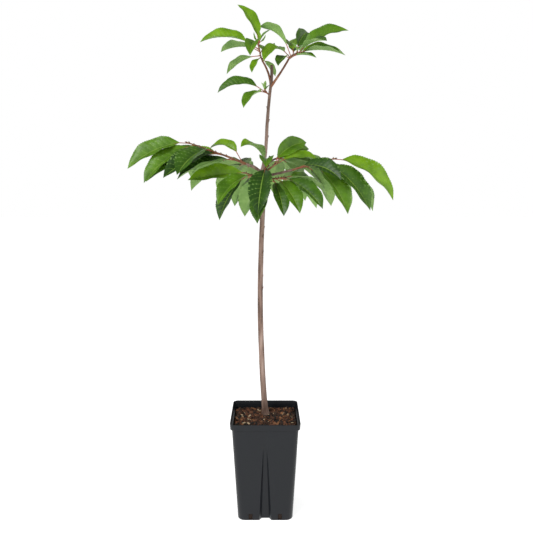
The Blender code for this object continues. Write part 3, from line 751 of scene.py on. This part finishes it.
def grow_leaf(patch, root, leaf, tone, rng, steps=BLADE_STEPS):
    """Toothed, folded and quilted blade with a pale underside, and raised veins where it is long."""
    frames = midrib_frames(root, leaf, steps)
    phase = rng.uniform(0, WAVE_TURN)
    columns = [-c for c in COLUMNS[::-1]] + list(COLUMNS)
    width = len(columns)
    top = []
    under = []
    for i in range(steps + 1):
        share = i / steps
        for across in columns:
            at = share
            if abs(across) == 1.0:
                across *= TOOTH_OUT if i % 2 else TOOTH_IN
                at = min(1, share + TOOTH_LEAN / steps * (i % 2))
            point, upward = blade_point(frames, leaf, at, across, phase)
            top.append(point)
            reach = min(1, abs(across))
            depth = SHEET_THICKNESS * (1 - reach ** 4)
            if reach < RIDGE_REACH:
                depth += RIDGE * (1 - share) ** RIDGE_FALL
            under.append(point - upward * depth)
    leaf_faces = []
    rib_faces = []
    for i in range(steps):
        for k in range(width - 1):
            a = i * width + k
            face = (a, a + 1, a + width + 1, a + width)
            if k == width // 2 - 1:
                rib_faces.append(face)
            else:
                leaf_faces.append(face)
    patch.add(top, leaf_faces, tone)
    patch.add(top, rib_faces, VEIN_NUMBER)
    patch.add(under, [face[::-1] for face in leaf_faces + rib_faces], UNDER_NUMBER)
    if leaf.length >= VEINED_LENGTH:
        for pair in range(1, VEIN_PAIRS):
            for side in (-1, 1):
                grow_vein(patch, frames, leaf, pair, side, phase)


def grow_vein(patch, frames, leaf, pair, side, phase):
    """Narrow strip that slants from the midrib to the margin, just above the blade."""
    strip = []
    for step in range(VEIN_STEPS + 1):
        reach = VEIN_ROOT + VEIN_SPAN * step / VEIN_STEPS
        share = pair / VEIN_PAIRS * VEIN_REACH + VEIN_SLANT * reach
        half = VEIN_WIDTH * (1 - VEIN_TAPER * reach)
        for offset in (-half, half):
            point, upward = blade_point(frames, leaf, share + offset, reach * side, phase)
            strip.append(point + upward * VEIN_LIFT)
    faces = [(2 * i, 2 * i + 1, 2 * i + 3, 2 * i + 2) for i in range(VEIN_STEPS)]
    if side > 0:
        faces = [face[::-1] for face in faces]
    patch.add(strip, faces, VEIN_NUMBER)


def grow_stalk(patch, root, leaf):
    """Red stalk with a thick foot that runs on into the midrib, and two glands below the blade."""
    base_rise = leaf.rise + leaf.arch / 2
    way = direction(leaf.heading, base_rise + STALK_LIFT)
    base = root + way * leaf.stalk
    ahead = direction(leaf.heading, base_rise)
    route = [root.lerp(base, share) for share in STALK_SHARES]
    route += [base + ahead * 0.002, base + ahead * leaf.length * 0.10]
    patch.add(*tube(route, STALK_RADII, 8), STALK_PART)
    sideways = leaf_axes(leaf, base_rise)[0]
    for side in (-1, 1):
        gland = root.lerp(base, 0.90) + sideways * side * 0.0010
        ends = [gland - way * GLAND_LENGTH, gland, gland + way * GLAND_LENGTH]
        patch.add(*tube(ends, GLAND_RADII, 6), STALK_PART)


def grow_bud(patch, root, way, size, number):
    """Pointed bud with a waist of scales."""
    route = [root + way * size * share for share in BUD_SHARES]
    radii = [size * width for width in BUD_WIDTHS]
    patch.add(*tube(route, radii, 8), number)


def grow_joint(patch, root, leaf):
    """Bud in a leaf's axil and the two drooping stipules beside its stalk."""
    side = direction(leaf.heading, leaf.rise + leaf.arch / 2 + STALK_LIFT + BUD_LEAN)
    grow_bud(patch, root + side * 0.0012, side, JOINT_BUD, BUD_PART)
    for turn in (-STIPULE_TURN, STIPULE_TURN):
        thread = direction(leaf.heading + turn, leaf.rise + STIPULE_RISE)
        droop = Vector((0, 0, -0.002))
        route = [root, root + thread * 0.004, root + thread * 0.008 + droop]
        patch.add(*tube(route, [0.0004, 0.00035, 0.0001], 5), STIPULE_PART)


def grow_tip(leaves, twigs, route, high, taken, rng):
    """Bud at the end of a stem, with young leaves round it high in the crown."""
    tip = route[-1]
    way = (route[-1] - route[-2]).normalized()
    grow_bud(twigs, tip, way, TIP_BUD, BUD_PART)
    heading = math.degrees(math.atan2(way.y, way.x))
    rise = math.degrees(math.asin(max(-1, min(1, way.z))))
    for i in range(TIP_LEAVES if high else 0):
        young = Leaf(heading + TIP_LEAF_TURN * i + rng.uniform(-20, 20), rise + rng.uniform(20, 45),
                     rng.uniform(0.016, 0.028), 0, 20, 0.005)
        if any(tree_of(leaf_piece(tip, young)).overlap(tree) for tree in taken):
            continue
        grow_leaf(leaves, tip, young, YOUNG_TONE, rng, YOUNG_BLADE_STEPS)
        grow_stalk(twigs, tip, young)


def dress_mass(mass, start, ahead, foot_radius, taken):
    """Leaves, stem, stalks, buds and young tip leaves of one mass, on the solid mass's rule."""
    route, roots = stem_and_roots(mass, start, ahead)
    rng = random.Random(mass.name + "_dress")
    radii = [foot_radius + (STEM_TIP_RADIUS - foot_radius) * i / (len(route) - 1)
             for i in range(len(route))]
    own = [tree_of(tube(route, radii, STEM_SIDES))]
    leaves = Patchwork()
    twigs = Patchwork()
    stem_radii = []
    for i in range(STEM_POINTS):
        radius = foot_radius + (STEM_TIP_RADIUS - foot_radius) * i / (STEM_POINTS - 1)
        stem_radii.append(radius * (1 + KNOB_SHARE * math.sin(i * KNOB_BEAT)))
    twigs.add(*tube(smooth_route(route, STEM_POINTS), stem_radii, 12), TWIG_PART)
    high = mass.height > HIGH_CROWN or mass.name.startswith("foliage_top")
    tones = HIGH_TONES if high else LOW_TONES
    for root, drawn in zip(roots, mass.leaves):
        leaf = place_leaf(root, drawn, taken, own)
        if leaf is None:
            continue
        own.append(tree_of(blade_only(leaf_piece(root, leaf))))
        pick = rng.random()
        tone = next(tone for share, tone in tones if pick < share)
        grow_leaf(leaves, root, leaf, tone, rng)
        grow_stalk(twigs, root, leaf)
        grow_joint(twigs, root, leaf)
    grow_tip(leaves, twigs, route, high, taken + own[1:], rng)
    dress(leaves.build("leaves_" + mass.name, LEAF_MATERIALS), mass.name)
    dress(twigs.build("twigs_" + mass.name, [TWIG, STALK, BUD, STIPULE]), mass.name)


# Trunk and boughs

def relief(point, depth):
    """Rise and fall of bark at a point: ridges up the trunk, fine grain, and level rings."""
    coarse = noise.noise(Vector((point.x * 160, point.y * 160, point.z * 40)))
    fine = noise.noise(Vector((point.x * 500, point.y * 500, point.z * 260)))
    ring = noise.noise(Vector((point.x * 90, point.y * 90, point.z * 900)))
    return depth * (0.55 * coarse + 0.30 * fine + 0.35 * max(0, ring))


def bark_tube(patch, route, radii, sides, number, depth):
    """Tube round a route with bark relief."""
    vertices, faces = tube(route, radii, sides)
    rings = len(route)
    moved = []
    for ring in range(rings):
        for k in range(sides):
            point = vertices[ring * sides + k]
            outwards = (point - route[ring]).normalized()
            moved.append(point + outwards * relief(point, depth))
    patch.add(moved, faces, number)


def dress_trunk(route):
    """Trunk with its stub, buds, leaf scars and lenticels."""
    rng = random.Random(5)
    patch = Patchwork()
    height = route[-1].z - route[0].z
    fine = smooth_route(TRUNK_ROUTE, int(height / BARK_STEP))
    radii = [trunk_radius(point.z) for point in fine]
    bark_tube(patch, fine, radii, BARK_SIDES, BARK_PART, TRUNK_RELIEF)
    for i in range(BARK_SIDES):
        x, y, _ = patch.vertices[i]
        patch.vertices[i] = (x, y, route[0].z)
    stub = shoot_route(at_height(route, PRUNED_STUB.height), PRUNED_STUB, STUB_RINGS)
    stub_radii = limb_radii(PRUNED_STUB, STUB_RINGS)
    bark_tube(patch, stub, stub_radii, BOUGH_SIDES, DEAD_PART, STUB_RELIEF)
    for height, heading, size in BUDS:
        centre = at_height(route, height)
        outwards = direction(heading, 0)
        root = centre + outwards * (trunk_radius(height) - size * 0.2)
        grow_bud(patch, root, direction(heading, 48), size * 1.1, TRUNK_BUD_PART)
        scar = centre + outwards * trunk_radius(height) - Vector((0, 0, size * 0.8))
        ends = [scar - outwards * 0.001, scar + outwards * 0.0006]
        patch.add(*tube(ends, [size * 0.8, size * 0.5], 8), TRUNK_BUD_PART)
    for _ in range(LENTICEL_COUNT):
        height = rng.uniform(*LENTICEL_HEIGHTS)
        heading = rng.uniform(0, 360)
        centre = at_height(route, height)
        outwards = direction(heading, 0)
        along_bark = outwards.cross(Vector((0, 0, 1)))
        spot = centre + outwards * (trunk_radius(height) - 0.0001)
        reach = rng.uniform(*LENTICEL_REACH)
        ends = [spot - along_bark * reach, spot, spot + along_bark * reach]
        patch.add(*tube(ends, LENTICEL_RADII, 6), LENTICEL_PART)
    dress(patch.build("trunk_bark", [BARK, DEAD_WOOD, BUD, LENTICEL]), "trunk")


def dress_limb(limb, route):
    """Bough with bark relief, grey where it is thick and reddish where it is thin."""
    patch = Patchwork()
    fine = shoot_route(at_height(route, limb.height), limb, BOUGH_RINGS)
    bark_tube(patch, fine, limb_radii(limb, BOUGH_RINGS), BOUGH_SIDES, BARK_PART, BOUGH_RELIEF)
    bark = BARK if limb.foot > THICK_BOUGH else TWIG
    dress(patch.build(limb.name + "_bark", [bark]), limb.name)


# Pot and compost

def rim_outline(inset, height):
    """Outline of the rim band, moved inwards by an inset."""
    return pot_outline(RIM_WIDTH / 2 - inset, RIM_CORNER - inset, GROOVE_TOP_WIDTH, 0, height)


def band_outline(inset, height):
    """Outline at the foot of the rim band, which keeps its corners outside the wall."""
    return pot_outline(BAND_FOOT_WIDTH / 2 - inset, RIM_CORNER, GROOVE_TOP_WIDTH, 0, height)


def pot_rings():
    """Outlines of the pot from its underside, over the rim and down inside to its floor."""
    band_foot = POT_HEIGHT - BAND_HEIGHT
    edge = POT_WALL / 2
    rings = [[(x, y, 0.0) for x, y, _ in body_outline(FOOT_ROUNDING, FOOT_ROUNDING)]]
    for turn in FOOT_TURNS:
        inset = FOOT_ROUNDING * (1 - math.sin(math.radians(turn)))
        lift = FOOT_ROUNDING * (1 - math.cos(math.radians(turn)))
        rings.append([(x, y, lift) for x, y, _ in body_outline(FOOT_ROUNDING, inset)])
    rings += wall_rings(FOOT_ROUNDING, 0)
    rings += [
        body_outline(band_foot - 0.0016, 0),
        body_outline(band_foot - 0.0004, 0),
        pot_outline(BODY_TOP_WIDTH / 2 + 0.001, RIM_CORNER, GROOVE_TOP_WIDTH, 0, band_foot),
        band_outline(0.0005, band_foot),
        band_outline(0, band_foot + 0.0006),
        rim_outline(0, POT_HEIGHT - 2 * edge),
        rim_outline(0, POT_HEIGHT - edge),
        rim_outline(edge * 0.3, POT_HEIGHT - edge * 0.3),
        rim_outline(edge, POT_HEIGHT),
        rim_outline(edge * 1.7, POT_HEIGHT - edge * 0.3),
        rim_outline(POT_WALL, POT_HEIGHT - edge),
        pot_outline(BAND_FOOT_WIDTH / 2 - POT_WALL, RIM_CORNER - POT_WALL, GROOVE_TOP_WIDTH, 0,
                    band_foot + POT_WALL),
        body_outline(band_foot + POT_WALL, POT_WALL),
    ]
    return rings + wall_rings(POT_FLOOR, POT_WALL)[::-1]


def slot_boxes():
    """Boxes where the drain slots go through the wall, two on each side."""
    shape = bmesh.new()
    for quarter in range(4):
        turn = math.radians(90 * quarter)
        for sideways in (-SLOT_OFFSET, SLOT_OFFSET):
            made = bmesh.ops.create_cube(shape, size=1)
            for vertex in made["verts"]:
                x = sideways + vertex.co.x * SLOT_WIDTH
                y = -BODY_FOOT_WIDTH / 2 + vertex.co.y * SLOT_REACH
                z = SLOT_FOOT + (vertex.co.z + 0.5) * SLOT_HEIGHT
                vertex.co = (x * math.cos(turn) - y * math.sin(turn),
                             x * math.sin(turn) + y * math.cos(turn), z)
    mesh = bpy.data.meshes.new("slots")
    shape.to_mesh(mesh)
    shape.free()
    return link("slots", mesh)


def dress_pot():
    """Pot with smooth corners and rounded edges, and its drain slots cut out."""
    rings = pot_rings()
    vertices = [point for ring in rings for point in ring]
    mesh = bpy.data.meshes.new("pot_shell")
    mesh.from_pydata(vertices, [], ring_faces(len(rings), len(rings[0])))
    mesh.materials.append(POT)
    pot = link("pot_shell", mesh)
    slots = slot_boxes()
    difference = pot.modifiers.new("slots", "BOOLEAN")
    difference.operation = "DIFFERENCE"
    difference.object = slots
    graph = bpy.context.evaluated_depsgraph_get()
    cut_mesh = bpy.data.meshes.new_from_object(pot.evaluated_get(graph))
    pot.modifiers.clear()
    pot.data = cut_mesh
    bpy.data.objects.remove(slots)
    pot.data.polygons.foreach_set("use_smooth", [True] * len(pot.data.polygons))
    pot.data.set_sharp_from_angle(angle=math.radians(SHARP_ANGLE))
    dress(pot, "pot")


def chip(rng, centre, size):
    """Flat broken piece of bark: a box with moved corners, turned at random."""
    long, wide, thick = size
    turn = rng.uniform(0, math.pi)
    tilt = rng.gauss(0, 0.42)
    roll = rng.gauss(0, 0.35)
    vertices = []
    for z in (-0.5, 0.5):
        for x, y in CHIP_OUTLINE:
            x = x * long * rng.uniform(0.8, 1.2)
            y = y * wide * rng.uniform(0.8, 1.2)
            height = z * thick * rng.uniform(0.7, 1.3)
            y, height = (y * math.cos(roll) - height * math.sin(roll),
                         y * math.sin(roll) + height * math.cos(roll))
            x, height = (x * math.cos(tilt) - height * math.sin(tilt),
                         x * math.sin(tilt) + height * math.cos(tilt))
            vertices.append(centre + Vector((x * math.cos(turn) - y * math.sin(turn),
                                             x * math.sin(turn) + y * math.cos(turn), height)))
    return vertices, ring_faces(2, len(CHIP_OUTLINE))


def dress_compost():
    """Bark chips of several colours strewn on the compost, which keeps its solid shape."""
    rng = random.Random(21)
    seat = Vector(TRUNK_ROUTE[0])
    patch = Patchwork()
    limit = BODY_TOP_WIDTH / 2 - POT_WALL - CHIP_MARGIN
    for _ in range(CHIP_COUNT):
        x = rng.uniform(-limit, limit)
        y = rng.uniform(-limit, limit)
        if (Vector((x, y)) - seat.xy).length < CHIP_CLEARANCE:
            continue
        long = rng.uniform(*CHIP_LENGTH) * rng.uniform(0.7, 1.0)
        room = limit + 0.003 - max(abs(x), abs(y))
        long = min(long, max(CHIP_LENGTH[0], room * 2))
        size = (long, long * rng.uniform(0.35, 0.75), rng.uniform(*CHIP_THICKNESS))
        pick = rng.random()
        number = next(i for i, share in enumerate(CHIP_SHARES) if pick <= share)
        z = COMPOST_TOP + rng.uniform(*CHIP_HEIGHTS)
        patch.add(*chip(rng, Vector((x, y, z)), size), number)
    item = patch.build("bark_chips", CHIPS, False)
    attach(item, "root")
    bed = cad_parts["compost"]
    bed.data.materials.clear()
    bed.data.materials.append(COMPOST)


# Stage

def area_light(name, place, target, size, power):
    """Square lamp that faces a point."""
    data = bpy.data.lights.new(name, "AREA")
    data.shape = "SQUARE"
    data.size = size
    data.energy = power
    item = bpy.data.objects.new(name, data)
    item.location = place
    item.rotation_euler = (Vector(target) - Vector(place)).to_track_quat("-Z", "Y").to_euler()
    bpy.context.scene.collection.objects.link(item)


def make_floor():
    """Pale floor that glows a little, so that it stays white."""
    corners = [(-FLOOR_REACH, -FLOOR_REACH, 0), (FLOOR_REACH, -FLOOR_REACH, 0),
               (FLOOR_REACH, FLOOR_REACH, 0), (-FLOOR_REACH, FLOOR_REACH, 0)]
    mesh = bpy.data.meshes.new("floor")
    mesh.from_pydata(corners, [], [(0, 1, 2, 3)])
    material, _, shader = new_material("floor", (0.86, 0.86, 0.86), 1.0, 0.0)
    shader.inputs["Emission Color"].default_value = (1, 1, 1, 1)
    shader.inputs["Emission Strength"].default_value = 0.68
    mesh.materials.append(material)
    link("floor", mesh)


def make_world():
    """White surroundings that are dimmer overhead."""
    world = bpy.data.worlds.new("studio")
    world.use_nodes = True
    tree = world.node_tree
    place = tree.nodes.new("ShaderNodeTexCoord")
    split = tree.nodes.new("ShaderNodeSeparateXYZ")
    dim = tree.nodes.new("ShaderNodeMapRange")
    dim.inputs["From Min"].default_value = SKY_FADE[0]
    dim.inputs["From Max"].default_value = SKY_FADE[1]
    dim.inputs["To Min"].default_value = 1.0
    dim.inputs["To Max"].default_value = SKY_TOP_STRENGTH
    tree.links.new(place.outputs["Generated"], split.inputs["Vector"])
    tree.links.new(split.outputs["Z"], dim.inputs["Value"])
    tree.links.new(dim.outputs["Result"], tree.nodes["Background"].inputs["Strength"])
    tree.nodes["Background"].inputs["Color"].default_value = (1, 1, 1, 1)
    bpy.context.scene.world = world


def make_camera():
    """Camera at the front, a little above the middle and tipped down."""
    camera = bpy.data.cameras.new("camera")
    camera.lens = CAMERA_LENS
    camera.sensor_width = CAMERA_SENSOR
    item = bpy.data.objects.new("camera", camera)
    item.location = CAMERA_PLACE
    item.rotation_euler = (math.radians(90 - CAMERA_DIP), 0, 0)
    bpy.context.scene.collection.objects.link(item)
    bpy.context.scene.camera = item


def make_stage():
    """Floor, surroundings, lamps and camera."""
    make_floor()
    make_world()
    bpy.context.scene.view_settings.view_transform = "Standard"
    area_light("key", (-1.6, -2.2, 2.6), (0, 0, 0.8), 1.0, 70)
    area_light("fill", (2.2, -1.6, 1.6), (0, 0, 0.7), 1.8, 14)
    make_camera()


def main():
    """Dress the limbs and the trunk, then each mass clear of the nodes before it, then the pot."""
    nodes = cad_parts
    fine = smooth_route(TRUNK_ROUTE, TRUNK_STEPS)
    taken = [tree_of_object(nodes["trunk"])]
    tips = {}
    for limb in LIMBS:
        limb_route = shoot_route(at_height(fine, limb.height), limb, LIMB_RINGS)
        ahead = (limb_route[-1] - limb_route[-2]).normalized()
        tips[limb.name] = (limb_route[-1] + ahead * GAP, ahead, limb.tip)
        taken.append(tree_of_object(nodes[limb.name]))
        dress_limb(limb, fine)
    dress_trunk(fine)
    for mass in MASSES:
        if mass.limb:
            start, ahead, foot_radius = tips[mass.limb]
        else:
            start, ahead, foot_radius = at_height(fine, mass.height), None, STEM_FOOT_RADIUS
        dress_mass(mass, start, ahead, foot_radius, taken)
        taken.append(tree_of_object(nodes[mass.name]))
    dress_pot()
    dress_compost()
    make_stage()


main()
bpy.context.view_layer.update()
